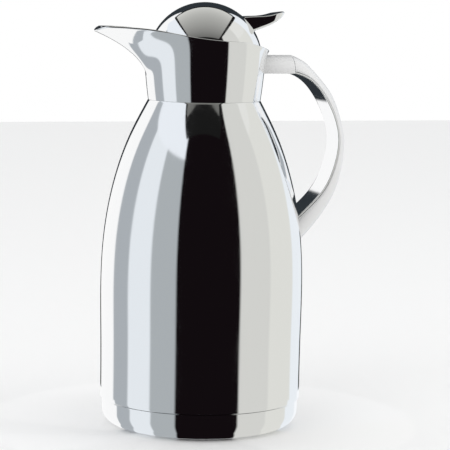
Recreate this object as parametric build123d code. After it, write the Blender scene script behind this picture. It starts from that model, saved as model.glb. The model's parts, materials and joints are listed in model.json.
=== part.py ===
"""Vacuum jug with a glass liner, a domed lever closure and a curved handle.

Millimetres. +Z is up, the origin is on the jug's axis in the plane it stands on,
the handle points along +X and the spout along -X.
"""
from build123d import *
import os
from math import acos, cos, exp, hypot, pi, radians, sin, sqrt

os.makedirs("parts", exist_ok=True)

# ---- driving dimensions ---------------------------------------------------------------
# Outer shell: outline from the base seam to the waist seam, as (radius, height).
SHELL_OUTLINE = [(68.6, 19.0), (68.8, 59.0), (69.2, 98.0), (67.5, 130.0), (60.7, 168.0),
                 (49.6, 200.0), (38.2, 222.5)]
SHELL_ENDS = [(0, 0, 1), (-0.47, 0, 0.88)]     # directions of the outline at its two ends
SHELL_WALL = 0.8
SHELL_LIP_R = 62.0          # inner edge of the shell's turned-in lip
BASE_SEAM_Z = 19.0
WAIST_R, WAIST_Z = 38.2, 222.5
SPIGOT_R = 37.0             # the shell's neck, inside the collar
SPIGOT_TOP_Z = 229.0

# Base: a chromed dish over a screw-in plastic insert.
BASE_R = 67.3
BASE_CORNER_R = 10.0
BASE_RIM_Z = 0.6
BASE_WALL = 1.0
FOOT_R, FOOT_T = 50.0, 1.6
BASE_THREAD_R = 57.0
BASE_PITCH = 3.0
SEAM_GAP = 0.3              # between the base and the shell

# Glass flask: outline of the outer glass, on the axis at the bottom to the neck.
FLASK_OUTLINE = [(0.0, 16.0), (34.0, 18.5), (50.0, 27.0), (60.0, 42.0), (63.7, 60.0), (64.4, 80.0),
                 (64.4, 98.0), (62.9, 129.0), (56.2, 166.5), (51.0, 182.4), (44.6, 196.0), (34.5, 205.5),
                 (31.0, 213.0)]
GLASS_T = 1.6
VACUUM_GAP = 3.5
FLASK_LIP_Z = 214.6

# Collar with the spout: how its section grows from the waist to its full height.
COLLAR_WALL = 0.8
COLLAR_TOP_Z = 274.0
COLLAR_SPAN = 48.0          # height over which the growth terms run
SPOUT_GROWTH, SPOUT_POWER = 44.4, 2.85
SPOUT_SPREAD = radians(19.0)    # half-width of the spout's keel at the full height
SPREAD_POWER = 1.2          # how the keel narrows downward
KEEL_SHAPE = 1.26           # 1 is a sharp keel, 2 a round one
KEEL_SOFTNESS = 0.03        # radians of turn that soften the keel's crest
BACK_GROWTH, BACK_POWER = 18.8, 3.14
BACK_ROUNDING = 0.60        # radians of turn that soften the back of the section
SIDE_GROWTH = 3.4
SPOUT_TIP_X = -77.2
NOSE_HALF_WIDTH, NOSE_ROUNDING = 50.0, 0.20    # of the curve that trims the spout's tip from above
SECTION_DEGREES = (0, 2, 5, 9, 14, 20, 28, 38, 50, 65, 82, 100, 120, 140, 160, 180)    # from the nose
RIM_LINE = [(70.0, 250.0), (44.0, 255.4), (24.5, 260.7), (0.0, 263.1), (-21.0, 265.5), (-41.0, 269.0),
            (-60.0, 270.5), (-90.0, 270.7)]
SHELF_Z, SHELF_T = 229.0, 1.0

# Neck: plastic threaded insert, its nut and seals.
NECK_BORE_R = 26.0
NECK_TUBE_R = 32.8
NECK_HOLE_R = 33.2          # in the shell's spigot and the collar's shelf
NECK_BOTTOM_Z = 217.0
NECK_FLANGE_R = 35.5
NECK_FLANGE_Z, NECK_TOP_Z = 230.6, 232.0
THREAD_PITCH = 3.0

# Closure: dome, stopper, valve and lever.
DOME_R, DOME_CENTRE_Z = 38.7, 249.8
DOME_WALL = 1.0
DOME_BOTTOM_Z = 238.0
PLUG_R, PLUG_BORE_R = 22.6, 20.6
PLUG_BOTTOM_Z, PLUG_STEP_Z = 196.0, 217.2
SCREW_BODY_R = 24.6
WINDOW_LOW_Z, WINDOW_HIGH_Z = 232.3, 238.4
FLANGE_R, FLANGE_TOP_Z = 35.6, 241.0
SEAT_HOLE_R, SEAT_TOP_Z = 13.0, 198.5
VALVE_WASHER_TOP_Z = SEAT_TOP_Z + 1.5
DISC_T = 3.0
STEM_R = 2.5
PIVOT_X, PIVOT_Z = 20.0, 262.0
PIVOT_R = 1.5
PIVOT_CLEARANCE = 0.06
CHEEK_IN_Y, CHEEK_OUT_Y = 6.5, 9.0
PLATE_TOP_Z = FLANGE_TOP_Z + 2.0
CARRIER_SCREWS = [(-8.5, 9.0), (-8.5, -9.0), (31.0, 6.0), (31.0, -6.0)]
LEVER_HALF_WIDTH = 9.5
LEVER_TIP_X = 55.8
SLOT_HALF_WIDTH = 10.0
SLOT_START_X, SLOT_BOTTOM_Z = 24.6, 264.8

# Handle: (x, z) along the middle of its flat inner face, and the thickness there.
HANDLE_STATIONS = [(61.4, 240.9, 12.3), (73.5, 235.5, 8.1), (83.4, 224.2, 7.9), (90.6, 210.0, 7.2),
                   (93.6, 195.0, 7.7), (91.3, 179.5, 9.3), (84.2, 162.8, 11.7), (72.8, 150.0, 14.6),
                   (60.0, 138.5, 16.5), (51.0, 130.4, 16.9)]
HOLLOW_STATIONS = 8         # the grip is hollow over the first eight of them
HANDLE_WIDTH = 24.0
GRIP_WALL = 1.4
STRIP_T = 1.2
GROOVE = 0.1                # between the strip and the grip
HANDLE_SCREW_Z = 137.0
SCREW_R = 2.0
WASHER_X = (64.4, 65.0)     # the washer's two faces


# ---- helpers --------------------------------------------------------------------------
def save(node, shape):
    """Write one node; its name is the file's name."""
    export_step(shape, f"parts/{node}.step")


def lathe(points):
    """Turn a closed outline of (radius, height) points about the axis."""
    outline = Polyline(*[(r, 0, z) for r, z in points], close=True)
    return revolve(make_face(outline), axis=Axis.Z)


def tube(r_in, r_out, z_low, z_high):
    """A plain ring or, with r_in of zero, a disc."""
    return lathe([(r_in, z_low), (r_out, z_low), (r_out, z_high), (r_in, z_high)])


def curve(points, tangents):
    """A smooth line through (radius, height) points."""
    return Spline(*[(r, 0, z) for r, z in points], tangents=tangents)


def lines(points):
    return Polyline(*[(r, 0, z) for r, z in points])


def inset(points, distance):
    """Points moved square to their outline, towards the axis side of it."""
    moved = []
    for i, (r, z) in enumerate(points):
        before = points[max(i - 1, 0)]
        after = points[min(i + 1, len(points) - 1)]
        run_r, run_z = after[0] - before[0], after[1] - before[1]
        length = hypot(run_r, run_z)
        moved.append((r - distance * run_z / length, z + distance * run_r / length))
    return moved


def thread_ribs(r_root, r_crest, z_first, count, pitch):
    """Thread crests as closed rings with sloped flanks."""
    low, high = sorted((r_root, r_crest))
    root_half, crest_half = 0.9, 0.5
    ribs = []
    for i in range(count):
        z = z_first + i * pitch
        half_low, half_high = (root_half, crest_half) if r_crest > r_root else (crest_half, root_half)
        ribs.append(lathe([(low, z - half_low), (high, z - half_high),
                           (high, z + half_high), (low, z + half_low)]))
    return ribs


def bar(centre, size):
    return Pos(*centre) * Box(*size)


# ---- shell and base -------------------------------------------------------------------
def outer_shell():
    """Thin shell with a turned-in lip below and a spigot for the collar above."""
    spigot_in_r = SPIGOT_R - SHELL_WALL
    spigot_in_z = SPIGOT_TOP_Z - SHELL_WALL
    shoulder = (spigot_in_r + 2.5, WAIST_Z - 3.5)
    lip_top = (SHELL_OUTLINE[0][0] - SHELL_WALL, BASE_SEAM_Z + SHELL_WALL)
    inner_points = [lip_top] + inset(SHELL_OUTLINE, SHELL_WALL)[1:-1] + [shoulder]
    outer = curve(SHELL_OUTLINE, SHELL_ENDS)
    top = lines([(WAIST_R, WAIST_Z), (SPIGOT_R, WAIST_Z), (SPIGOT_R, SPIGOT_TOP_Z),
                 (NECK_HOLE_R, SPIGOT_TOP_Z), (NECK_HOLE_R, spigot_in_z), (spigot_in_r, spigot_in_z),
                 (spigot_in_r, WAIST_Z - 1.3), shoulder])
    inner = curve(inner_points, SHELL_ENDS)
    bottom = lines([lip_top, (SHELL_LIP_R, lip_top[1]), (SHELL_LIP_R, BASE_SEAM_Z), SHELL_OUTLINE[0]])
    shell = revolve(make_face(outer + top + inner + bottom), axis=Axis.Z)
    screw_hole = Pos(SHELL_OUTLINE[0][0], 0, HANDLE_SCREW_Z) * Rot(0, 90, 0) * Cylinder(SCREW_R + 0.2, 16)
    return shell - screw_hole


def shell_envelope():
    """Everything inside the shell's outer outline, to trim what stands against it."""
    outer = curve(SHELL_OUTLINE, SHELL_ENDS)
    close = lines([SHELL_OUTLINE[-1], (0, WAIST_Z), (0, BASE_SEAM_Z), SHELL_OUTLINE[0]])
    return revolve(make_face(outer + close), axis=Axis.Z)


def base_cap():
    """Chromed dish: recessed floor, rounded corner, straight skirt and a turned-in lip."""
    skirt_top = BASE_SEAM_Z - SEAM_GAP
    corner_r = BASE_R - BASE_CORNER_R
    corner_z = BASE_RIM_Z + BASE_CORNER_R
    inner_r = BASE_CORNER_R - BASE_WALL
    diagonal = sqrt(0.5)
    outer = lines([(0, FOOT_T), (FOOT_R + 0.2, FOOT_T), (FOOT_R + 0.2, BASE_RIM_Z), (corner_r, BASE_RIM_Z)])
    outer += ThreePointArc((corner_r, 0, BASE_RIM_Z),
                           (corner_r + BASE_CORNER_R * diagonal, 0, corner_z - BASE_CORNER_R * diagonal),
                           (BASE_R, 0, corner_z))
    outer += lines([(BASE_R, corner_z), (BASE_R, skirt_top), (BASE_R - 4.0, skirt_top),
                    (BASE_R - 4.0, skirt_top - BASE_WALL), (BASE_R - BASE_WALL, skirt_top - BASE_WALL),
                    (BASE_R - BASE_WALL, corner_z)])
    outer += ThreePointArc((BASE_R - BASE_WALL, 0, corner_z),
                           (corner_r + inner_r * diagonal, 0, corner_z - inner_r * diagonal),
                           (corner_r, 0, corner_z - inner_r))
    outer += lines([(corner_r, corner_z - inner_r), (FOOT_R + 1.2, BASE_RIM_Z + BASE_WALL),
                    (FOOT_R + 1.2, FOOT_T + BASE_WALL), (0, FOOT_T + BASE_WALL), (0, FOOT_T)])
    return revolve(make_face(outer), axis=Axis.Z)


def base_insert():
    """Screw-in plastic cup that carries the dish and the flask's cradle."""
    floor_z = FOOT_T + BASE_WALL
    flange_top = BASE_SEAM_Z - SEAM_GAP - BASE_WALL
    flange_low = flange_top - 1.6
    flange_r = BASE_R - BASE_WALL - 0.3
    top_z = 27.5
    r = BASE_THREAD_R
    cup = lathe([(0, floor_z), (r - 7.2, floor_z), (r - 6.0, 5.0), (r, 12.0), (r, flange_low),
                 (flange_r, flange_low), (flange_r, flange_top), (r, flange_top), (r, top_z), (r - 2.5, top_z),
                 (r - 2.5, 13.0), (r - 9.0, floor_z + 2.0), (0, floor_z + 2.0)])
    return cup + thread_ribs(r - 0.2, r + 1.0, 21.0, 2, BASE_PITCH)


def base_thread_ring():
    """Threaded ring on the shell's turned-in lip."""
    ring = tube(BASE_THREAD_R + 1.3, SHELL_LIP_R - 0.1, BASE_SEAM_Z - 0.2, 28.0)
    flange_low = BASE_SEAM_Z + SHELL_WALL
    flange = tube(SHELL_LIP_R - 0.5, SHELL_LIP_R + 4.0, flange_low, flange_low + 2.0)
    return ring + flange + thread_ribs(BASE_THREAD_R + 1.5, BASE_THREAD_R + 0.5, 22.5, 2, BASE_PITCH)


def foot_pad():
    return tube(0, FOOT_R, 0, FOOT_T)


def liner_cradle():
    """Rubber seat under the flask, open in the middle for the sealed glass tip."""
    low = FOOT_T + BASE_WALL + 2.0
    return lathe([(9.0, low), (34.0, low), (34.0, 18.1), (27.0, 16.5), (20.0, 15.9), (9.0, 15.7)])


# ---- flask ----------------------------------------------------------------------------
def flask_points(depth):
    """The flask's outline at one depth in its double wall, from the axis to the neck."""
    points = inset(FLASK_OUTLINE, depth)
    points[0] = (0.0, FLASK_OUTLINE[0][1] + depth)
    points[-1] = (FLASK_OUTLINE[-1][0] - depth, FLASK_OUTLINE[-1][1])
    return points


def flask_outer():
    """Outer glass with the sealed tip below."""
    low, high = flask_points(0.0), flask_points(GLASS_T)
    ends = [(1, 0, 0), (0, 0, 1)]
    edge = curve(low, ends) + lines([low[-1], high[-1]]) + curve(high, ends) + lines([high[0], low[0]])
    tip = lathe([(0, 9.5), (1.5, 10.5), (3.2, 15.0), (5.0, 17.0), (0, 17.0)])
    return revolve(make_face(edge), axis=Axis.Z) + tip


def flask_inner():
    """Inner glass in straight runs, turned over at the mouth to close the vacuum."""
    depth = GLASS_T + VACUUM_GAP
    low, high = flask_points(depth), flask_points(depth + GLASS_T)
    lip_r, lip_z = FLASK_OUTLINE[-1]
    mouth = [(lip_r, lip_z), (lip_r, FLASK_LIP_Z), (high[-1][0], FLASK_LIP_Z)]
    return lathe(low + mouth + high[::-1])


def flask_spacers():
    """Three pads that hold the two glasses apart."""
    glass_r = FLASK_OUTLINE[5][0]
    wall = tube(glass_r - GLASS_T - VACUUM_GAP + 0.4, glass_r - GLASS_T - 0.4, 75.0, 105.0)
    button = Pos(glass_r - 4.0, 0, 90.0) * Rot(0, 90, 0) * Cylinder(6.0, 12.0)
    return Compound([Rot(0, 0, 90 + 120 * i) * (wall & button).solid() for i in range(3)])


def shoulder_buffer():
    """Foam ring between the shell's shoulder and the glass."""
    span = SHELL_OUTLINE[4:6]
    run_r, run_z = span[1][0] - span[0][0], span[1][1] - span[0][1]
    length = hypot(run_r, run_z)
    low = (span[0][0] + run_r * 0.1, span[0][1] + run_z * 0.1)
    high = (span[0][0] + run_r * 0.5, span[0][1] + run_z * 0.5)
    corners = []
    for depth, ends in ((SHELL_WALL + 0.4, (low, high)), (4.0, (high, low))):
        for r, z in ends:
            corners.append((r - depth * run_z / length, z + depth * run_r / length))
    return lathe(corners)


# ---- collar ---------------------------------------------------------------------------
def collar_reach(z):
    """Spout, back and side radius of the collar's outside at one height."""
    s = max(z - WAIST_Z, 0) / COLLAR_SPAN
    spout = WAIST_R + SPOUT_GROWTH * s ** SPOUT_POWER
    back = WAIST_R + BACK_GROWTH * s ** BACK_POWER
    side = WAIST_R + SIDE_GROWTH * (1 - max(1 - s, 0) ** 2)
    return spout, back, side


def egg_radius(angle, reach, side, rounding):
    """Radius of a circle drawn out to a soft nose; the angle is counted from the nose."""
    turn = acos(side / reach) + rounding
    softened = hypot(angle, rounding)
    return side / cos(max(turn - softened, 0))


def keel_share(angle, z):
    """Share of the spout's reach that is left at an angle from its nose."""
    s = max((z - WAIST_Z) / COLLAR_SPAN, 0.02)
    spread = SPOUT_SPREAD * s ** SPREAD_POWER
    softened = hypot(angle, KEEL_SOFTNESS) - KEEL_SOFTNESS
    return exp(-(softened / spread) ** KEEL_SHAPE)


def collar_radius(angle, z):
    """Outside radius of the collar at an angle from the spout's nose."""
    from_nose = min(abs(angle), 2 * pi - abs(angle))
    spout, back, side = collar_reach(z)
    front = side + max(spout - side, 0) * keel_share(from_nose, z)
    return max(front, egg_radius(pi - from_nose, max(back, side), side, BACK_ROUNDING))


def collar_point(angle, z, wall):
    """A point of the section at one height, a true wall thickness inside the collar's outside."""
    turn, step = radians(0.5), 0.5
    low = max(z - step, WAIST_Z)
    r = collar_radius(angle, z)
    along = (collar_radius(angle + turn, z) - collar_radius(angle - turn, z)) / (2 * turn * r)
    rise = (collar_radius(angle, z + step) - collar_radius(angle, low)) / (z + step - low)
    lean = hypot(1, along)
    depth = wall * hypot(lean, rise) / lean
    out = r - depth / lean
    sideways = depth * along / lean
    return (sideways * sin(angle) - out * cos(angle), -sideways * cos(angle) - out * sin(angle), z)


def full_turn():
    """Angles round the axis, closest together at the nose."""
    half = [radians(a) for a in SECTION_DEGREES]
    return half + [2 * pi - a for a in reversed(half[1:-1])]


def collar_section(z, wall):
    """One closed section of the collar, with its nose along -X."""
    return Spline(*[collar_point(angle, z, wall) for angle in full_turn()], periodic=True)


def collar_block(wall, z_low):
    """The solid inside the collar's surface at a wall depth."""
    levels = [z_low, 227.0, 232.0, 240.0, 247.0, 253.5, 259.5, 265.0, 269.5, COLLAR_TOP_Z]
    return loft([make_face(collar_section(z, wall)) for z in levels])


def below_rim():
    """A block whose top is the rim's curve as seen from the side."""
    ends = [(-90.0, 200.0), (70.0, 200.0)]
    top = curve(RIM_LINE, None)
    sides = lines([RIM_LINE[-1], *ends, RIM_LINE[0]])
    return extrude(make_face(top + sides), amount=80, dir=(0, 1, 0), both=True)


def nose_block():
    """A tall block whose plan trims the spout's tip."""
    low_z = 200.0
    points = []
    for angle in full_turn():
        r = egg_radius(min(angle, 2 * pi - angle), -SPOUT_TIP_X, NOSE_HALF_WIDTH, NOSE_ROUNDING)
        points.append((-r * cos(angle), -r * sin(angle), low_z))
    return extrude(make_face(Spline(*points, periodic=True)), amount=100, dir=(0, 0, 1))


def spout_collar(outside):
    """Collar with its spout and the shelf that the neck insert clamps."""
    bore = collar_block(COLLAR_WALL, WAIST_Z)
    collar = (outside - bore) & below_rim() & nose_block()
    shelf_r = collar_radius(pi / 2, SHELF_Z) - COLLAR_WALL / 2
    shelf = tube(NECK_HOLE_R, shelf_r, SHELF_Z, SHELF_Z + SHELF_T)
    return (collar + shelf).solid()


# ---- neck -----------------------------------------------------------------------------
def neck_insert():
    """Threaded plastic throat, clamped down through the collar's shelf."""
    body = lathe([(NECK_BORE_R, NECK_BOTTOM_Z), (NECK_TUBE_R, NECK_BOTTOM_Z), (NECK_TUBE_R, NECK_FLANGE_Z),
                  (NECK_FLANGE_R, NECK_FLANGE_Z), (NECK_FLANGE_R, NECK_TOP_Z - 0.4),
                  (NECK_BORE_R, NECK_TOP_Z)])
    return body + thread_ribs(NECK_BORE_R + 0.2, NECK_BORE_R - 0.6, 219.5, 3, THREAD_PITCH)


def neck_nut():
    return tube(NECK_TUBE_R, SPIGOT_R - SHELL_WALL - 0.2, 223.5, SPIGOT_TOP_Z - SHELL_WALL)


def collar_seal():
    return tube(NECK_HOLE_R, NECK_FLANGE_R, SHELF_Z + SHELF_T, NECK_FLANGE_Z)


def mouth_gasket():
    """Ring over the flask's lip with a skirt round its neck."""
    lip_r = FLASK_OUTLINE[-1][0]
    return lathe([(25.2, FLASK_LIP_Z), (lip_r + 0.1, FLASK_LIP_Z),
                  (lip_r + 0.1, 211.0), (lip_r + 2.0, 211.0),
                  (lip_r + 2.0, NECK_BOTTOM_Z), (25.2, NECK_BOTTOM_Z)])


# ---- handle ---------------------------------------------------------------------------
def handle_frames():
    """Position, outward direction and thickness at each station of the handle."""
    frames = []
    for i, (x, z, t) in enumerate(HANDLE_STATIONS):
        if i == 0:
            frames.append((x, z, (0.0, 1.0), t))
            continue
        before = HANDLE_STATIONS[i - 1]
        after = HANDLE_STATIONS[min(i + 1, len(HANDLE_STATIONS) - 1)]
        run_x, run_z = after[0] - before[0], after[1] - before[1]
        length = hypot(run_x, run_z)
        frames.append((x, z, (-run_z / length, run_x / length), t))
    return frames


def on_frame(frame, across, out):
    """A point of a handle section: across the face, and out from it."""
    x, z, (nx, nz), _ = frame
    return (x + nx * out, across, z + nz * out)


def bow_face(frame, half_width, low, high):
    """A flat-based section with a round back."""
    left, right = on_frame(frame, -half_width, low), on_frame(frame, half_width, low)
    return make_face(Line(right, left) + ThreePointArc(left, on_frame(frame, 0, high), right))


def along_x(x_low, x_high, radius):
    """A round bar on the handle screw's line."""
    return Pos((x_low + x_high) / 2, 0, HANDLE_SCREW_Z) * Rot(0, 90, 0) * Cylinder(radius, x_high - x_low)


def strip_block(low, high, half_width):
    """A band that follows the handle between two distances out from its inner face."""
    frames = handle_frames()
    inner = Spline(*[on_frame(f, 0, low) for f in frames])
    outer = Spline(*[on_frame(f, 0, high) for f in reversed(frames)])
    edge = inner + Line(inner @ 1, outer @ 0) + outer + Line(outer @ 1, inner @ 0)
    return extrude(make_face(edge), amount=half_width, dir=(0, 1, 0), both=True)


def handle_grip(envelope):
    """Hollow round-backed grip, solid at its lower end, cut to the shell's shape."""
    frames = handle_frames()
    half_width = HANDLE_WIDTH / 2 - 0.3
    low = STRIP_T + GROOVE
    outside = loft([bow_face(f, half_width, low, f[3]) for f in frames])
    hollow_low = low - 0.5              # starts below the grip's face, so that it opens it
    hollow = loft([bow_face(f, half_width - GRIP_WALL, hollow_low, f[3] - GRIP_WALL)
                   for f in frames[:HOLLOW_STATIONS]])
    strip_space = strip_block(-1.0, low, HANDLE_WIDTH)
    return (outside - hollow - strip_space - envelope - along_x(60.0, 80.0, SCREW_R)).solid()


def handle_inner_strip(envelope):
    """Polished cover over the grip's whole length, cut to the shell's shape."""
    return (strip_block(0.0, STRIP_T, HANDLE_WIDTH / 2) - envelope).solid()


def handle_bracket(outside):
    """Short arm on the collar, with a tongue that enters the grip."""
    seam = handle_frames()[0]
    arm = extrude(bow_face(seam, HANDLE_WIDTH / 2, 0.0, seam[3]), amount=30, dir=(-1, 0, 0))
    tongue = bar((63.9, 0, 245.0), (5.4, 9.0, 3.6))
    return (arm - outside + tongue).solid()


def handle_screw():
    """Screw from inside the shell into the grip's solid end."""
    return along_x(WASHER_X[0] - 1.4, WASHER_X[0], 3.5) + along_x(WASHER_X[0] - 0.4, 80.0, SCREW_R)


def handle_washer():
    return along_x(*WASHER_X, 4.5) - along_x(WASHER_X[0] - 1.0, WASHER_X[1] + 1.0, SCREW_R + 0.2)


# ---- closure --------------------------------------------------------------------------
def dome_sphere(radius):
    return Pos(0, 0, DOME_CENTRE_Z) * Sphere(radius)


def dome_cover():
    """Spherical cover with the lever's slot at the back."""
    dome = dome_sphere(DOME_R) - dome_sphere(DOME_R - DOME_WALL)
    dome -= bar((0, 0, DOME_BOTTOM_Z - 40), (100, 100, 80))
    slot_x = 20.0
    slot_z = 30.0
    dome -= bar((SLOT_START_X + slot_x / 2, 0, SLOT_BOTTOM_Z + slot_z / 2),
                (slot_x, 2 * SLOT_HALF_WIDTH, slot_z))
    return dome.solid()


def closure_body():
    """Stopper: seat at the bottom, screw body, pouring windows and the flange above."""
    body = lathe([(SEAT_HOLE_R, PLUG_BOTTOM_Z), (PLUG_R, PLUG_BOTTOM_Z), (PLUG_R, PLUG_STEP_Z),
                  (SCREW_BODY_R, PLUG_STEP_Z), (SCREW_BODY_R, WINDOW_HIGH_Z),
                  (FLANGE_R - 0.4, WINDOW_HIGH_Z),
                  (FLANGE_R, WINDOW_HIGH_Z + 0.6), (FLANGE_R, FLANGE_TOP_Z), (4.5, FLANGE_TOP_Z),
                  (4.5, WINDOW_HIGH_Z + 1.2), (STEM_R + 0.1, WINDOW_HIGH_Z + 1.2),
                  (STEM_R + 0.1, WINDOW_HIGH_Z),
                  (PLUG_BORE_R, WINDOW_HIGH_Z), (PLUG_BORE_R, SEAT_TOP_Z), (SEAT_HOLE_R, SEAT_TOP_Z)])
    window = bar((22.0, 0, (WINDOW_LOW_Z + WINDOW_HIGH_Z) / 2), (12.0, 12.0, WINDOW_HIGH_Z - WINDOW_LOW_Z))
    for i in range(8):
        body -= Rot(0, 0, 22.5 + 45 * i) * window
    for x, y in CARRIER_SCREWS:
        body -= Pos(x, y, FLANGE_TOP_Z - 1.0) * Cylinder(1.2, 2.0)
    return body + thread_ribs(SCREW_BODY_R - 0.2, SCREW_BODY_R + 0.6, 221.0, 3, THREAD_PITCH)


def stopper_seal():
    return tube(PLUG_R + 0.08, SCREW_BODY_R + 0.2, FLASK_LIP_Z, PLUG_STEP_Z)


def stem_seal():
    """Small ring in the flange round the valve's stem."""
    return tube(STEM_R + 0.05, 4.45, WINDOW_HIGH_Z + 1.2, FLANGE_TOP_Z)


def lever_carrier():
    """Base plate and two cheeks under the dome that hold the lever's pin."""
    plate = bar((11.0, 0, FLANGE_TOP_Z + 1.0), (46.0, 24.0, 2.0))
    plate -= Pos(0, 0, FLANGE_TOP_Z + 1.0) * Cylinder(6.0, 4.0)
    for x, y in CARRIER_SCREWS:
        plate -= Pos(x, y, FLANGE_TOP_Z + 1.0) * Cylinder(1.5, 4.0)
    cheek_t = CHEEK_OUT_Y - CHEEK_IN_Y
    cheek_y = (CHEEK_OUT_Y + CHEEK_IN_Y) / 2
    height = PIVOT_Z - PLATE_TOP_Z
    pin_hole = Pos(PIVOT_X, 0, PIVOT_Z) * Rot(90, 0, 0) * Cylinder(PIVOT_R, 40)
    for side in (-1, 1):
        post = bar((PIVOT_X, side * cheek_y, PLATE_TOP_Z + height / 2), (9.0, cheek_t, height))
        eye = Pos(PIVOT_X, side * cheek_y, PIVOT_Z) * Rot(90, 0, 0) * Cylinder(4.5, cheek_t)
        plate += post + eye
    return plate - pin_hole


def carrier_screws():
    screws = []
    for x, y in CARRIER_SCREWS:
        shank = Pos(x, y, FLANGE_TOP_Z) * Cylinder(1.2, 4.0)
        head = Pos(x, y, PLATE_TOP_Z + 0.8) * Cylinder(2.4, 1.6)
        screws.append((shank + head).solid())
    return Compound(screws)


def lever_pin():
    return Pos(PIVOT_X, 0, PIVOT_Z) * Rot(90, 0, 0) * Cylinder(PIVOT_R, 2 * CHEEK_OUT_Y)


def thumb_lever():
    """Thumb plate outside the dome, arm and fork inside it, on one pivot."""
    side_line = lines([(25.1, 279.2), (36.0, 279.7), (44.0, 280.6), (52.0, 282.6), (55.8, 281.6),
                       (55.4, 279.6), (48.5, 276.3), (42.0, 273.3), (37.0, 271.4), (33.0, 270.3),
                       (30.0, 266.0), (27.5, 262.0), (25.1, 268.0), (25.1, 279.2)])
    plate = extrude(make_face(side_line), amount=LEVER_HALF_WIDTH, dir=(0, 1, 0), both=True)
    round_end = Pos(LEVER_TIP_X - LEVER_HALF_WIDTH, 0, 270) * Cylinder(LEVER_HALF_WIDTH, 40)
    straight = bar((LEVER_TIP_X - LEVER_HALF_WIDTH - 20, 0, 270), (40, 2 * LEVER_HALF_WIDTH, 40))
    plate &= round_end + straight

    inner_half = CHEEK_IN_Y - 0.3
    arm_line = lines([(26.5, 272.0), (31.5, 268.5), (28.0, 262.0), (24.5, 258.8), (15.5, 258.8),
                      (15.5, 265.2), (21.5, 266.5), (26.5, 272.0)])
    arm = extrude(make_face(arm_line), amount=inner_half, dir=(0, 1, 0), both=True)
    tine_t = inner_half - STEM_R - 0.4
    for side in (-1, 1):
        arm += bar((8.0, side * (inner_half - tine_t / 2), 261.8), (18.0, tine_t, 3.4))
    bore = Pos(PIVOT_X, 0, PIVOT_Z) * Rot(90, 0, 0) * Cylinder(PIVOT_R + PIVOT_CLEARANCE, 40)
    root_centre = (27.0, 0, 263.6)
    root_block = bar(root_centre, (12.0, 2 * LEVER_HALF_WIDTH, 9.2))
    root_sides = root_block - bar(root_centre, (14.0, 2 * inner_half, 12.0))
    return (plate - root_sides + arm - bore).solid()


def valve_stem():
    """Rod from the valve disc up through the flange to its head."""
    return tube(0, STEM_R, SEAT_TOP_Z + 0.6, 264.0)


def stem_head():
    """Cap on the stem that the lever's fork lifts."""
    return tube(0, 5.5, 264.0, 266.5)


def valve_washer():
    return tube(STEM_R, 16.5, SEAT_TOP_Z, VALVE_WASHER_TOP_Z)


def valve_disc():
    """Stiff disc over the washer, with a hub that centres the spring."""
    low = VALVE_WASHER_TOP_Z
    hub_r, hub_top = 5.2, low + 6.0
    return lathe([(STEM_R, low), (16.0, low), (15.2, low + 2.0), (hub_r, low + DISC_T), (hub_r, hub_top),
                  (STEM_R, hub_top)])


def valve_spring():
    """Closing spring between the disc and the flange."""
    wire_r, coil_r, turns, end_gap = 0.5, 6.6, 6, 0.15
    low = VALVE_WASHER_TOP_Z + DISC_T + wire_r + end_gap
    high = WINDOW_HIGH_Z - wire_r - end_gap
    path = Helix(pitch=(high - low) / turns, height=high - low, radius=coil_r, center=(0, 0, low))
    section = Plane(origin=path @ 0, z_dir=path % 0) * Circle(wire_r)
    return sweep(section, path=path, is_frenet=True)


# ---- write every node -----------------------------------------------------------------
collar_outside = collar_block(0.0, WAIST_Z)
envelope = shell_envelope()

save("outer_shell", outer_shell())
save("base_thread_ring", base_thread_ring())
save("base_cap", base_cap())
save("base_insert", base_insert())
save("foot_pad", foot_pad())
save("liner_cradle", liner_cradle())
save("flask_outer", flask_outer())
save("flask_inner", flask_inner())
save("flask_spacers", flask_spacers())
save("shoulder_buffer", shoulder_buffer())
save("spout_collar", spout_collar(collar_outside))
save("collar_seal", collar_seal())
save("neck_insert", neck_insert())
save("neck_nut", neck_nut())
save("mouth_gasket", mouth_gasket())
save("handle_bracket", handle_bracket(collar_outside))
save("handle_grip", handle_grip(envelope))
save("handle_inner_strip", handle_inner_strip(envelope))
save("handle_screw", handle_screw())
save("handle_washer", handle_washer())
save("stopper_seal", stopper_seal())
save("closure_body", closure_body())
save("dome_cover", dome_cover())
save("lever_carrier", lever_carrier())
save("carrier_screws", carrier_screws())
save("lever_pin", lever_pin())
save("stem_seal", stem_seal())
save("thumb_lever", thumb_lever())
save("valve_stem", valve_stem())
save("stem_head", stem_head())
save("valve_washer", valve_washer())
save("valve_disc", valve_disc())
save("valve_spring", valve_spring())
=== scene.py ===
"""Looks of the vacuum jug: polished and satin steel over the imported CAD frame. Metres."""
import json
from math import acos, cos, exp, hypot, pi, radians, sin, sqrt

import bmesh
import bpy
import numpy as np
from mathutils import Matrix, Vector


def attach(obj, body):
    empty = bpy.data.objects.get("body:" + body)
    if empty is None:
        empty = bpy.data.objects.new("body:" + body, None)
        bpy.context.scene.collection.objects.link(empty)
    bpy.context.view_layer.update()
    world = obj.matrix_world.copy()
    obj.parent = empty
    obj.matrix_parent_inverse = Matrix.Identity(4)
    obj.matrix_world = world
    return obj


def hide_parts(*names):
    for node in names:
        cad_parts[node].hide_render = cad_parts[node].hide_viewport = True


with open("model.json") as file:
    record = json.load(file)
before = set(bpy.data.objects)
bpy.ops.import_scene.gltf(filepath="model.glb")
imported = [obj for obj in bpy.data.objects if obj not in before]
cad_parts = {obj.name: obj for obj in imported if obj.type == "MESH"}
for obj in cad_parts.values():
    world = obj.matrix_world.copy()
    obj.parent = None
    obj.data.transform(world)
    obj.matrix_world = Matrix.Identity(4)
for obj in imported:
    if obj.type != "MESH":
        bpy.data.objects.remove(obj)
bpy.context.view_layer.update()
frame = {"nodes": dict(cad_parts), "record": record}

MM = 0.001

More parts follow.
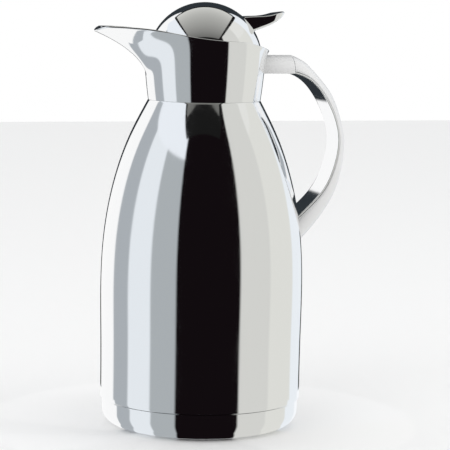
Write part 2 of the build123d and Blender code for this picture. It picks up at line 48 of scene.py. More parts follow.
# ---- shape, in millimetres, as the frame has it -----------------------------------------
SHELL_OUTLINE = [(68.6, 19.0), (68.8, 59.0), (69.17, 98.0), (67.5, 130.0), (60.7, 168.0),
                 (49.6, 200.0), (38.2, 222.5)]
SHELL_START_SLOPE, SHELL_END_SLOPE = (0, 1), (-0.47, 0.88)
SHELL_WALL = 0.8
HEM_R, WAIST_TURN_R = 0.3, 0.5
WAIST_R, WAIST_Z = 38.2, 222.5
BASE_R, BASE_CORNER_R, BASE_RIM_Z, BASE_TOP_Z = 67.3, 10.0, 0.6, 18.45
BASE_WALL, BASE_EDGE_R = 1.0, 0.3
COLLAR_SPAN, COLLAR_WALL, RIM_BEAD_R = 48.0, 1.0, 0.55
SPOUT_GROWTH, SPOUT_POWER = 44.4, 2.85
SPOUT_SPREAD, SPREAD_POWER = radians(19.0), 1.2
KEEL_SHAPE, KEEL_SOFTNESS = 1.26, 0.03
BACK_GROWTH, BACK_POWER, BACK_ROUNDING = 18.8, 3.14, 0.6
SIDE_GROWTH = 3.4
SPOUT_TIP_X = -76.7
NOSE_SIDE, NOSE_ROUNDING = 50.0, 0.2
RIM_LINE = [(70.0, 250.0), (44.0, 255.4), (24.5, 260.7), (0.0, 263.1), (-21.0, 265.5),
            (-41.0, 269.0), (-60.0, 270.5), (-90.0, 270.7)]
DOME_R, DOME_CENTRE_Z, DOME_BOTTOM_Z, DOME_WALL = 38.7, 249.8, 238.0, 1.0
# Inner face of the handle as (x, z), with the handle's thickness there.
HANDLE_STATIONS = [(61.4, 240.9, 12.3), (73.5, 235.5, 8.1), (83.4, 224.2, 7.9), (90.6, 210.0, 7.2),
                   (93.6, 195.0, 7.7), (91.3, 179.5, 9.3), (84.2, 162.8, 11.7), (72.8, 150.0, 14.6),
                   (60.0, 138.5, 16.5), (51.0, 130.4, 16.9)]
HANDLE_START_SLOPE = (0.95, -0.22, -0.2)
HANDLE_WIDTH = 24.0


# ---- smooth lines -----------------------------------------------------------------------
def smooth_line(points, count, start=None, end=None):
    """Points along a cubic through the given ones, even in chord length; ends may have a direction."""
    p = np.array(points, float)
    n = len(p)
    gaps = np.linalg.norm(np.diff(p, axis=0), axis=1)
    u = np.concatenate([[0], np.cumsum(gaps)])
    a = np.zeros((n, n))
    b = np.zeros_like(p)
    for i in range(1, n - 1):
        a[i, i - 1], a[i, i], a[i, i + 1] = gaps[i], 2 * (gaps[i] + gaps[i - 1]), gaps[i - 1]
        b[i] = 3 * (gaps[i] / gaps[i - 1] * (p[i] - p[i - 1])
                    + gaps[i - 1] / gaps[i] * (p[i + 1] - p[i]))
    for row, other, direction, chord in ((0, 1, start, (p[1] - p[0]) / gaps[0]),
                                         (n - 1, n - 2, end, (p[-1] - p[-2]) / gaps[-1])):
        a[row, row] = 1
        if direction is None:
            a[row, row], a[row, other] = 2, 1
            b[row] = 3 * chord
        else:
            d = np.array(direction, float)
            b[row] = d / np.linalg.norm(d)
    slopes = np.linalg.solve(a, b)
    at = np.linspace(0, u[-1], count)
    k = np.clip(np.searchsorted(u, at, side="right") - 1, 0, n - 2)
    h = gaps[k][:, None]
    s = ((at - u[k]) / gaps[k])[:, None]
    return ((2 * s**3 - 3 * s**2 + 1) * p[k] + (s**3 - 2 * s**2 + s) * h * slopes[k]
            + (-2 * s**3 + 3 * s**2) * p[k + 1] + (s**3 - s**2) * h * slopes[k + 1])


def arc(centre, radius, start_deg, end_deg, count):
    """Points of an arc in a plane."""
    angles = np.radians(np.linspace(start_deg, end_deg, count))
    return np.column_stack([centre[0] + radius * np.cos(angles), centre[1] + radius * np.sin(angles)])


def normals_of(line):
    """Left-hand normals along a line of points."""
    d = np.gradient(line, axis=0)
    d /= np.linalg.norm(d, axis=1)[:, None]
    return np.column_stack([-d[:, 1], d[:, 0]])


# ---- meshes -----------------------------------------------------------------------------
def new_object(name, vertices_mm, faces, sharp_deg=35.0):
    mesh = bpy.data.meshes.new(name)
    mesh.from_pydata([tuple(v) for v in np.asarray(vertices_mm) * MM], [], faces)
    mesh.validate()
    bm = bmesh.new()
    bm.from_mesh(mesh)
    bmesh.ops.remove_doubles(bm, verts=bm.verts, dist=1e-6)
    bmesh.ops.recalc_face_normals(bm, faces=bm.faces)
    bm.to_mesh(mesh)
    bm.free()
    mesh.shade_smooth()
    mesh.set_sharp_from_angle(angle=radians(sharp_deg))
    obj = bpy.data.objects.new(name, mesh)
    bpy.context.scene.collection.objects.link(obj)
    return obj


def grid_faces(rows, columns, wrap_rows=False, wrap_columns=False):
    faces = []
    for i in range(rows if wrap_rows else rows - 1):
        for j in range(columns if wrap_columns else columns - 1):
            a, b = i * columns + j, i * columns + (j + 1) % columns
            c, d = ((i + 1) % rows) * columns + (j + 1) % columns, ((i + 1) % rows) * columns + j
            faces.append((a, b, c, d))
    return faces


def lathe(name, outline, segments=288):
    """Turn a closed outline of (radius, height) about the axis."""
    outline = np.asarray(outline)
    angles = np.linspace(0, 2 * pi, segments, endpoint=False)
    r, z = outline[:, 0], outline[:, 1]
    vertices = np.stack([np.outer(np.cos(angles), r), np.outer(np.sin(angles), r),
                         np.broadcast_to(z, (segments, len(z)))], axis=2)
    return new_object(name, vertices.reshape(-1, 3), grid_faces(segments, len(outline), True, True))


def shell_piece():
    """Body from the base seam to the waist, with its rounded hem and the neck inside the collar."""
    outer = smooth_line(SHELL_OUTLINE, 170, SHELL_START_SLOPE, SHELL_END_SLOPE)
    hem = arc((outer[0][0] - HEM_R, outer[0][1] + HEM_R), HEM_R, -90, 0, 6)
    outer = outer[(outer[:, 1] > 19.4) & (outer[:, 1] < 222.1)]
    waist_turn = arc((37.9, 222.0), WAIST_TURN_R, 28, 90, 6)
    inner = smooth_line(SHELL_OUTLINE, 60, SHELL_START_SLOPE, SHELL_END_SLOPE)
    inner = (inner + normals_of(inner) * SHELL_WALL)[::-1]
    inner = inner[(inner[:, 1] > 21.0) & (inner[:, 1] < 219.0)]
    neck = [(37.0, 222.5), (37.0, 229.0), (33.2, 229.0), (33.2, 228.2), (36.2, 228.2), (36.2, 221.2)]
    lip = [(67.8, 19.8), (62.0, 19.8), (62.0, 19.0)]
    return lathe("body_shell", np.vstack([hem, outer, waist_turn, neck, inner, lip]))


def base_piece():
    """Base dish: skirt, rounded corner and recessed floor."""
    corner_r, corner_z = BASE_R - BASE_CORNER_R, BASE_RIM_Z + BASE_CORNER_R
    outer = arc((corner_r, corner_z), BASE_CORNER_R, -90, 0, 28)
    top = arc((BASE_R - BASE_EDGE_R, BASE_TOP_Z - BASE_EDGE_R), BASE_EDGE_R, 0, 90, 6)
    lip = [(63.3, BASE_TOP_Z), (63.3, BASE_TOP_Z - BASE_WALL), (66.3, BASE_TOP_Z - BASE_WALL)]
    inner = arc((corner_r, corner_z), BASE_CORNER_R - BASE_WALL, 0, -90, 16)
    floor = [(51.2, 1.6), (51.2, 2.6), (0.0, 2.6), (0.0, 1.6), (50.2, 1.6), (50.2, 0.6)]
    heights = np.linspace(corner_z + 0.8, BASE_TOP_Z - BASE_EDGE_R - 0.4, 10)
    skirt = np.column_stack([np.full(len(heights), BASE_R), heights])
    return lathe("base_dish", np.vstack([outer, skirt, top, lip, inner, floor]))


# ---- collar -----------------------------------------------------------------------------
def collar_reach(z):
    """Spout, back and side radius of the collar's outside at a height."""
    s = max(z - WAIST_Z, 0) / COLLAR_SPAN
    return (WAIST_R + SPOUT_GROWTH * s**SPOUT_POWER, WAIST_R + BACK_GROWTH * s**BACK_POWER,
            WAIST_R + SIDE_GROWTH * (1 - max(1 - s, 0)**2))


def egg_radius(angle, reach, side, rounding):
    """Radius of a circle drawn out to a soft nose; the angle is counted from the nose."""
    turn = acos(min(side / reach, 1)) + rounding
    return side / cos(max(turn - hypot(angle, rounding), 0))


def keel_share(angle, z):
    """Share of the spout's reach that is left at an angle from its nose."""
    s = max((z - WAIST_Z) / COLLAR_SPAN, 0.02)
    softened = hypot(angle, KEEL_SOFTNESS) - KEEL_SOFTNESS
    return exp(-(softened / (SPOUT_SPREAD * s**SPREAD_POWER))**KEEL_SHAPE)


def collar_radius(angle, z):
    """Outside radius at an angle from the spout's nose."""
    spout, back, side = collar_reach(z)
    front = side + max(spout - side, 0) * keel_share(angle, z)
    return max(front, egg_radius(pi - angle, max(back, side), side, BACK_ROUNDING))


rim_curve = smooth_line(RIM_LINE, 400)


def rim_height(x):
    """Height of the rim's edge in the side view."""
    return float(np.interp(-x, -rim_curve[:, 0], rim_curve[:, 1]))


def wall_top(angle):
    """Height at which the outside meets the rim or the spout's nose."""
    low, high, halvings = 240.0, 272.0, 40
    nose = egg_radius(angle, -SPOUT_TIP_X, NOSE_SIDE, NOSE_ROUNDING)
    for _ in range(halvings):
        z = (low + high) / 2
        r = collar_radius(angle, z)
        above = z > rim_height(-r * cos(angle)) or r > nose
        low, high = (low, z) if above else (z, high)
    return low


def collar_piece():
    """Spout collar with its thickness and a rounded rim; its columns stand closest at the nose."""
    columns, rows, crowding = 280, 90, 1.5
    even = np.linspace(-1, 1, columns, endpoint=False)
    turns = pi * np.sign(even) * np.abs(even)**crowding
    outer = np.zeros((columns, rows, 3))
    for j, turn in enumerate(turns):
        for i, z in enumerate(np.linspace(WAIST_Z, wall_top(abs(turn)), rows)):
            r = collar_radius(abs(turn), z)
            outer[j, i] = (-r * cos(turn), -r * sin(turn), z)
    round_it = np.roll(outer, -1, axis=0) - np.roll(outer, 1, axis=0)
    out = np.cross(round_it, np.gradient(outer, axis=1))
    out /= np.linalg.norm(out, axis=2)[:, :, None]
    inner = outer - out * COLLAR_WALL
    # In the narrow spout the inside keeps to its own side of the middle plane.
    side, least_share = np.sign(outer[:, :, 1]), 0.15
    inner[:, :, 1] = side * np.maximum(inner[:, :, 1] * side, least_share * np.abs(outer[:, :, 1]))
    middle = (outer[:, -1] + inner[:, -1]) / 2
    upward = np.cross(out[:, -1], round_it[:, -1])
    upward /= np.linalg.norm(upward, axis=1)[:, None]
    edge = [middle + out[:, -1] * RIM_BEAD_R * cos(a) + upward * RIM_BEAD_R * sin(a)
            for a in np.radians(np.linspace(0, 180, 9))]
    vertices = np.concatenate([outer[:, :-1], np.stack(edge, axis=1), inner[:, :-1][:, ::-1]], axis=1)
    faces = grid_faces(columns, vertices.shape[1], True, True)
    return new_object("collar", vertices.reshape(-1, 3), faces, 50.0)


# ---- dome -------------------------------------------------------------------------------
def dome_piece():
    """Spherical cover, cut for the lever."""
    low = -(DOME_CENTRE_Z - DOME_BOTTOM_Z)
    inner_r = DOME_R - DOME_WALL
    start = np.degrees(np.arcsin(low / DOME_R))
    outer = arc((0, DOME_CENTRE_Z), DOME_R, start, 90, 130)
    inner_start = np.degrees(np.arcsin(low / inner_r))
    inner = arc((0, DOME_CENTRE_Z), inner_r, 90, inner_start, 60)
    outer[-1, 0] = inner[0, 0] = 0.0
    dome = lathe("dome", np.vstack([outer, inner]), 320)
    cutter = box_object("slot_cutter", (24.6, -10.0, 264.8), (46.0, 10.0, 296.0))
    cut = dome.modifiers.new("slot", "BOOLEAN")
    cut.operation, cut.solver, cut.object = "DIFFERENCE", "EXACT", cutter
    bpy.context.view_layer.update()
    mesh = bpy.data.meshes.new_from_object(dome.evaluated_get(bpy.context.evaluated_depsgraph_get()))
    dome.modifiers.clear()
    dome.data = mesh
    bpy.data.objects.remove(cutter)
    sphere_normals(dome, (0, 0, DOME_CENTRE_Z), DOME_R)
    return dome


def sphere_normals(obj, centre, radius):
    """Exact normals on the sphere's outside, so that its reflections stay clean round the cut."""
    mesh = obj.data
    tolerance = 2e-5
    mesh.set_sharp_from_angle(angle=radians(35))
    centre = Vector(centre) * MM
    normals = [Vector(n.vector) for n in mesh.corner_normals]
    for face in mesh.polygons:
        off = [abs((mesh.vertices[v].co - centre).length - radius * MM) for v in face.vertices]
        if max(off) < tolerance:
            for corner in face.loop_indices:
                v = mesh.loops[corner].vertex_index
                normals[corner] = (mesh.vertices[v].co - centre).normalized()
    mesh.normals_split_custom_set([tuple(n) for n in normals])


def box_object(name, low, high):
    (x0, y0, z0), (x1, y1, z1) = low, high
    vertices = [(x0, y0, z0), (x1, y0, z0), (x1, y1, z0), (x0, y1, z0),
                (x0, y0, z1), (x1, y0, z1), (x1, y1, z1), (x0, y1, z1)]
    faces = [(0, 3, 2, 1), (4, 5, 6, 7), (0, 1, 5, 4), (1, 2, 6, 5), (2, 3, 7, 6), (3, 0, 4, 7)]
    return new_object(name, vertices, faces)


# ---- lever ------------------------------------------------------------------------------
LEVER_TOP = [(24.8, 279.0), (31.0, 279.4), (38.0, 279.7), (45.0, 280.7), (51.5, 282.4), (55.8, 283.0)]
LEVER_UNDER = [(24.8, 268.6), (31.5, 269.4), (37.0, 271.3), (44.5, 274.2), (50.0, 277.4), (55.8, 281.3)]
LEVER_HALF_WIDTH = 9.5
LEVER_ROOT_X, LEVER_TIP_X = 24.8, 55.8
LEVER_ROUND_TOP, LEVER_ROUND_UNDER = 1.0, 1.6
DISH_DEPTH, DISH_START_X, DISH_RUN, DISH_HALF_WIDTH, DISH_END_RUN = 0.9, 36.0, 8.0, 8.0, 6.0
ARM_HALF_WIDTH, TINE_INNER_Y = 6.2, 2.9


def lever_dish(x, y):
    """Depth of the dished top at a place on the thumb plate."""
    start = np.clip((x - DISH_START_X) / DISH_RUN, 0, 1)
    end = np.clip((LEVER_TIP_X - 1.5 - x) / DISH_END_RUN, 0, 1)
    return DISH_DEPTH * start * max(1 - (y / DISH_HALF_WIDTH)**2, 0) * end


def edge_fall(radius, depth):
    """How far a rounded edge falls at a depth inward from the outline."""
    return radius - sqrt(max(radius**2 - max(radius - depth, 0)**2, 0))


def lever_piece():
    """Thumb plate: straight sides, round end, upturned tip and a dished top."""
    top = smooth_line(LEVER_TOP, 120)
    under = smooth_line(LEVER_UNDER, 120)
    centre_x = LEVER_TIP_X - LEVER_HALF_WIDTH
    ring = [("line", x, -1.0) for x in np.linspace(LEVER_ROOT_X, centre_x, 30)[:-1]]
    ring += [("turn", a, 0.0) for a in np.linspace(-90, 90, 41)]
    ring += [("line", x, 1.0) for x in np.linspace(centre_x, LEVER_ROOT_X, 30)[1:]]
    depths = list(np.linspace(LEVER_HALF_WIDTH, 2.4, 12)) + list(np.linspace(2.2, 0.0, 12))
    levels = [(d, "top") for d in depths] + [(d, "under") for d in depths[::-1]]
    vertices = []
    for kind, value, side in ring:
        for depth, face in levels:
            reach = LEVER_HALF_WIDTH - depth
            if kind == "line":
                x, y = value, side * reach
            else:
                a = radians(value)
                x, y = centre_x + reach * cos(a), reach * sin(a)
            z_top = float(np.interp(x, top[:, 0], top[:, 1]))
            z_under = float(np.interp(x, under[:, 0], under[:, 1]))
            if face == "top":
                z = z_top - edge_fall(LEVER_ROUND_TOP, depth) - lever_dish(x, y)
            else:
                z = min(z_under + edge_fall(LEVER_ROUND_UNDER, depth), z_top - LEVER_ROUND_TOP)
            vertices.append((x, y, z))
    columns = len(levels)
    faces = grid_faces(len(ring), columns)
    last = (len(ring) - 1) * columns
    for j in range(columns - 1):
        faces.append((j, last + j, last + j + 1, j + 1))
    return new_object("lever_plate", vertices, faces, 40.0)


def lever_arm_piece():
    """Arm and fork inside the dome, from the plate's root to the stem."""
    side = [(26.0, 272.0), (31.5, 269.2), (28.0, 262.0), (24.5, 258.8), (15.5, 258.8),
            (15.5, 265.2), (21.5, 266.5)]
    vertices = [(x, y, z) for y in (-ARM_HALF_WIDTH, ARM_HALF_WIDTH) for x, z in side]
    n = len(side)
    faces = [tuple(range(n)), tuple(range(2 * n - 1, n - 1, -1))]
    faces += [(i, (i + 1) % n, n + (i + 1) % n, n + i) for i in range(n)]
    arm = new_object("lever_arm", vertices, faces)
    for low_y, high_y in ((-ARM_HALF_WIDTH, -TINE_INNER_Y), (TINE_INNER_Y, ARM_HALF_WIDTH)):
        join(arm, box_object("tine", (-1.0, low_y, 260.1), (17.0, high_y, 263.5)))
    soften(arm, 0.4)
    return arm


def join(target, other):
    """Move the other object's faces into the target."""
    bm = bmesh.new()
    bm.from_mesh(target.data)
    bm.from_mesh(other.data)
    bm.to_mesh(target.data)
    bm.free()
    bpy.data.objects.remove(other)


def soften(obj, width_mm):
    bevel = obj.modifiers.new("soft_edges", "BEVEL")
    bevel.width, bevel.segments, bevel.limit_method = width_mm * MM, 2, "ANGLE"


# ---- handle -----------------------------------------------------------------------------
STRIP_EDGE, GROOVE = 1.15, 0.3


def handle_path(count):
    """Inner face line, outward directions and thickness along the handle."""
    straight_run = 6.0
    line = smooth_line(HANDLE_STATIONS, count, HANDLE_START_SLOPE)
    out = normals_of(line[:, :2])
    blend = np.clip((line[:, 0] - HANDLE_STATIONS[0][0]) / straight_run, 0, 1)
    blend[count // 2:] = 1
    out = out * blend[:, None] + np.array([0.0, 1.0]) * (1 - blend[:, None])
    out /= np.linalg.norm(out, axis=1)[:, None]
    return line[:, :2], out, line[:, 2]


def bow(half_width, thickness, low, count):
    """The round back of a handle section above a height, from one side to the other."""
    radius = (half_width**2 + thickness**2) / (2 * thickness)
    centre = thickness - radius
    reach = acos(np.clip((low - centre) / radius, -1, 1))
    angles = np.linspace(reach, -reach, count)
    return [(radius * sin(a), centre + radius * cos(a)) for a in angles]


def sweep_handle(name, section, count=150, sharp=30.0):
    """Carry a section (across, out) along the handle; the section may change with thickness."""
    line, out, thickness = handle_path(count)
    vertices = []
    for (x, z), (nx, nz), t in zip(line, out, thickness):
        for across, away in section(t):
            vertices.append((x + nx * away, across, z + nz * away))
    columns = len(vertices) // count
    faces = grid_faces(count, columns, False, True)
    faces.append(tuple(range(columns)))
    faces.append(tuple(range((count - 1) * columns, count * columns))[::-1])
    return new_object(name, vertices, faces, sharp)


def grip_section(t):
    """Round back of the grip, turned in at both edges to the groove beside the strip."""
    low, edge, turn_in = STRIP_EDGE + GROOVE, 0.35, 0.6
    back = bow(HANDLE_WIDTH / 2, t, low, 40)
    side = back[0][0]
    left = [(-side + edge + turn_in, low), (-side + edge, low + 0.02)]
    right = [(side - edge, low + 0.02), (side - edge - turn_in, low)]
    return left + back[::-1][1:-1] + right


def strip_section(_):
    """Flat inner strip, the same at every thickness of the handle."""
    half, edge = HANDLE_WIDTH / 2, 0.3
    corners = [(half - edge * (1 - sin(a)), edge * (1 - cos(a))) for a in np.radians(np.linspace(0, 90, 5))]
    corners += [(half - 0.25, STRIP_EDGE - 0.2), (half - 0.5, STRIP_EDGE)]
    mirrored = [(-u, v) for u, v in corners[::-1]]
    flat = [(u, 0.0) for u in np.linspace(-half + 1.0, half - 1.0, 9)]
    return corners + mirrored + flat


def bracket_piece():
    """Short arm from the collar to the handle's seam."""
    start, end, edge = 36.0, 61.2, 0.3
    _, z0, thickness = HANDLE_STATIONS[0]
    turns = np.radians([30, 60, 90])
    xs = [start, end - edge] + [end - edge + edge * sin(a) for a in turns]
    shrink = [0, 0] + [edge * (1 - cos(a)) for a in turns]
    vertices = []
    for x, s in zip(xs, shrink):
        back = bow(HANDLE_WIDTH / 2 - s, thickness - s, 0.35 + s, 48)
        side = back[0][0]
        left = [(-side + 0.05, 0.12 + s), (-side + 0.35, s)]
        right = [(side - 0.35, s), (side - 0.05, 0.12 + s)]
        section = back + left + [(u, s) for u in np.linspace(-side + 1.0, side - 1.0, 7)] + right
        for across, away in section:
            vertices.append((x, across, z0 + away))
    columns = len(vertices) // len(xs)
    faces = grid_faces(len(xs), columns, False, True)
    faces.append(tuple(range(columns)))
    faces.append(tuple(range((len(xs) - 1) * columns, len(xs) * columns))[::-1])
    return new_object("bracket_arm", vertices, faces, 40.0)


# ---- materials --------------------------------------------------------------------------
def material(name, base, roughness, metallic=0.0):
    """A Principled material, ready for detail."""
    m = bpy.data.materials.new(name)
    m.use_nodes = True
    shader = m.node_tree.nodes["Principled BSDF"]
    shader.inputs["Base Color"].default_value = (*base, 1)
    shader.inputs["Roughness"].default_value = roughness
    shader.inputs["Metallic"].default_value = metallic
    return m


def add_node(m, kind, **inputs):
    node = m.node_tree.nodes.new(kind)
    for socket, value in inputs.items():
        node.inputs[socket].default_value = value
    return node


def wire(m, source, target):
    m.node_tree.links.new(source, target)


def stretched_coordinates(m, scale):
    """Object coordinates with their own scale on each axis."""
    place = m.node_tree.nodes.new("ShaderNodeTexCoord")
    mapping = m.node_tree.nodes.new("ShaderNodeMapping")
    mapping.inputs["Scale"].default_value = scale
    wire(m, place.outputs["Object"], mapping.inputs["Vector"])
    return mapping.outputs["Vector"]


def ramp(m, source, low, high):
    """Map the middle of a noise's range onto a range of one number."""
    node = m.node_tree.nodes.new("ShaderNodeMapRange")
    node.inputs["From Min"].default_value = 0.35
    node.inputs["From Max"].default_value = 0.65
    node.inputs["To Min"].default_value = low
    node.inputs["To Max"].default_value = high
    wire(m, source, node.inputs["Value"])
    return node.outputs["Result"]


def bumped(m, height, distance):
    bump = add_node(m, "ShaderNodeBump", Distance=distance, Strength=1.0)
    wire(m, height, bump.inputs["Height"])
    wire(m, bump.outputs["Normal"], m.node_tree.nodes["Principled BSDF"].inputs["Normal"])


def polished_steel():
    """Mirror steel: faint smears in the gloss, hairline scratches and a very shallow waviness."""
    m = material("polished_steel", (0.93, 0.935, 0.94), 0.05, 1.0)
    shader = m.node_tree.nodes["Principled BSDF"]
    vector = stretched_coordinates(m, (1, 1, 1))
    smear = add_node(m, "ShaderNodeTexNoise", Scale=26.0, Detail=5.0, Roughness=0.6)
    wire(m, vector, smear.inputs["Vector"])
    hairline = add_node(m, "ShaderNodeTexNoise", Scale=900.0, Detail=2.0)
    wire(m, stretched_coordinates(m, (1, 1, 0.04)), hairline.inputs["Vector"])
    total = m.node_tree.nodes.new("ShaderNodeMath")
    total.operation = "ADD"
    wire(m, ramp(m, smear.outputs["Fac"], 0.02, 0.06), total.inputs[0])
    wire(m, ramp(m, hairline.outputs["Fac"], 0.0, 0.035), total.inputs[1])
    wire(m, total.outputs["Value"], shader.inputs["Roughness"])
    wave = add_node(m, "ShaderNodeTexNoise", Scale=14.0, Detail=1.0)
    wire(m, vector, wave.inputs["Vector"])
    bumped(m, wave.outputs["Fac"], 0.00004)
    return m


def satin_steel():
    """Satin steel with a fine grain along the piece."""
    m = material("satin_steel", (0.84, 0.84, 0.845), 0.45, 0.35)
    shader = m.node_tree.nodes["Principled BSDF"]
    grain = add_node(m, "ShaderNodeTexNoise", Scale=1400.0, Detail=3.0, Roughness=0.7)
    wire(m, stretched_coordinates(m, (0.05, 1, 0.05)), grain.inputs["Vector"])
    wire(m, ramp(m, grain.outputs["Fac"], 0.38, 0.52), shader.inputs["Roughness"])
    bumped(m, grain.outputs["Fac"], 0.000012)
    return m


def moulded(name, base, roughness, grain_scale=900.0, depth=0.00002):
    """Moulded plastic or rubber with a fine texture and uneven gloss."""
    m = material(name, base, roughness)
    shader = m.node_tree.nodes["Principled BSDF"]
    vector = stretched_coordinates(m, (1, 1, 1))
    patch = add_node(m, "ShaderNodeTexNoise", Scale=60.0, Detail=4.0)
    wire(m, vector, patch.inputs["Vector"])
    uneven = ramp(m, patch.outputs["Fac"], roughness - 0.08, roughness + 0.08)
    wire(m, uneven, shader.inputs["Roughness"])
    colour = m.node_tree.nodes.new("ShaderNodeMix")
    colour.data_type = "RGBA"
    colour.inputs["A"].default_value = (*[c * 0.85 for c in base], 1)
    colour.inputs["B"].default_value = (*[min(c * 1.15, 1) for c in base], 1)
    wire(m, patch.outputs["Fac"], colour.inputs["Factor"])
    wire(m, colour.outputs["Result"], shader.inputs["Base Color"])
    grain = add_node(m, "ShaderNodeTexNoise", Scale=grain_scale, Detail=2.0)
    wire(m, vector, grain.inputs["Vector"])
    bumped(m, grain.outputs["Fac"], depth)
    return m


def turned_steel():
    """Screws and pins: turning marks round the piece and a duller gloss."""
    m = material("turned_steel", (0.62, 0.62, 0.61), 0.3, 1.0)
    shader = m.node_tree.nodes["Principled BSDF"]
    marks = add_node(m, "ShaderNodeTexNoise", Scale=2500.0, Detail=2.0)
    wire(m, stretched_coordinates(m, (0.05, 0.05, 1)), marks.inputs["Vector"])
    wire(m, ramp(m, marks.outputs["Fac"], 0.2, 0.42), shader.inputs["Roughness"])
    bumped(m, marks.outputs["Fac"], 0.00001)
    return m


def silvered_glass():
    """Silvered glass: a bright mirror with thin cloudy streaks."""
    m = material("silvered_glass", (0.86, 0.87, 0.86), 0.08, 0.9)
    shader = m.node_tree.nodes["Principled BSDF"]
    cloud = add_node(m, "ShaderNodeTexNoise", Scale=40.0, Detail=6.0, Distortion=0.6)
    wire(m, stretched_coordinates(m, (1, 1, 0.4)), cloud.inputs["Vector"])
    wire(m, ramp(m, cloud.outputs["Fac"], 0.05, 0.2), shader.inputs["Roughness"])
    bumped(m, cloud.outputs["Fac"], 0.00003)
    return m


# ---- world, cards and camera ------------------------------------------------------------
VIEW_AZIMUTH = radians(-17.0)
# Studio bands seen in the steel: (azimuth from the camera in degrees at which the band starts, colour).
BANDS = [(-180, (1.0, 1.0, 1.0)), (-118, (0.42, 0.45, 0.48)), (-91, (0.82, 0.86, 0.90)),
         (-59, (0.42, 0.45, 0.47)), (-28, (0.006, 0.004, 0.005)), (45, (0.68, 0.68, 0.65)),
         (85, (0.76, 0.76, 0.72)), (127, (0.86, 0.90, 0.94)), (165, (0.95, 0.97, 1.0))]
# Above this elevation, as the dome sees them, the grey ones on the spout's side are missing.
ABOVE = radians(33)
BANDS_ABOVE = [(-180, (1.0, 1.0, 1.0)), (-135, (0.86, 0.90, 0.95)), (-28, (0.006, 0.004, 0.005)),
               (45, (0.68, 0.68, 0.65)), (85, (0.80, 0.80, 0.77)), (127, (0.86, 0.90, 0.94))]
# Dark backdrop behind the object, narrowest at the height where outlines are reflected.
BACKDROP_WAIST, BACKDROP_HALF_WIDTH, BACKDROP_FLARE = radians(-7), radians(17), 0.55
BACKDROP_WIDEST, BACKDROP_FOOT, BACKDROP_TOP = radians(27), radians(-27), radians(60)
BACKDROP_COLOUR = (0.028, 0.034, 0.040)


class Nodes:
    """A node tree with short ways to make arithmetic in it."""

    def __init__(self, tree):
        self.tree = tree

    def maths(self, operation, *values):
        node = self.tree.nodes.new("ShaderNodeMath")
        node.operation = operation
        for i, value in enumerate(values):
            if isinstance(value, (int, float)):
                node.inputs[i].default_value = value
            else:
                self.tree.links.new(value, node.inputs[i])
        return node.outputs["Value"]

    def between(self, value, low, high):
        """1 between two edges, 0 outside them, with soft steps."""
        width = 0.03
        steps = []
        for edge, sign in ((low, 1), (high, -1)):
            node = self.tree.nodes.new("ShaderNodeMapRange")
            node.interpolation_type = "SMOOTHSTEP"
            node.inputs["From Min"].default_value = edge - sign * width / 2
            node.inputs["From Max"].default_value = edge + sign * width / 2
            self.tree.links.new(value, node.inputs["Value"])
            steps.append(node.outputs["Result"])
        return self.maths("MULTIPLY", *steps)

    def turned(self, vector):
        """X, Y and Z of a vector turned so that the camera looks along +Y."""
        turn = self.tree.nodes.new("ShaderNodeVectorRotate")
        turn.rotation_type = "Z_AXIS"
        turn.inputs["Angle"].default_value = -VIEW_AZIMUTH
        self.tree.links.new(vector, turn.inputs["Vector"])
        split = self.tree.nodes.new("ShaderNodeSeparateXYZ")
        self.tree.links.new(turn.outputs["Vector"], split.inputs["Vector"])
        return split.outputs

    def banded(self, turned, choice, scale=1.0):
        """Studio bands round the axis; the scale widens or narrows them."""
        azimuth = self.maths("ARCTAN2", turned["X"], self.maths("MULTIPLY", turned["Y"], -1.0))
        widened = self.maths("MULTIPLY", azimuth, scale)
        position = self.maths("MULTIPLY_ADD", widened, 1 / (2 * pi), 0.5)
        bands = self.tree.nodes.new("ShaderNodeValToRGB")
        soft = 1.2 / 360
        stops = [(0.0, choice[0][1])]
        for (_, before), (start, colour) in zip(choice, choice[1:]):
            at = (start + 180) / 360
            stops += [(at - soft, before), (at + soft, colour)]
        elements = bands.color_ramp.elements
        while len(elements) < len(stops):
            elements.new(0.5)
        for element, (at, colour) in zip(elements, stops):
            element.position = at
            element.color = (*colour, 1)
        self.tree.links.new(position, bands.inputs["Fac"])
        return bands.outputs["Color"]


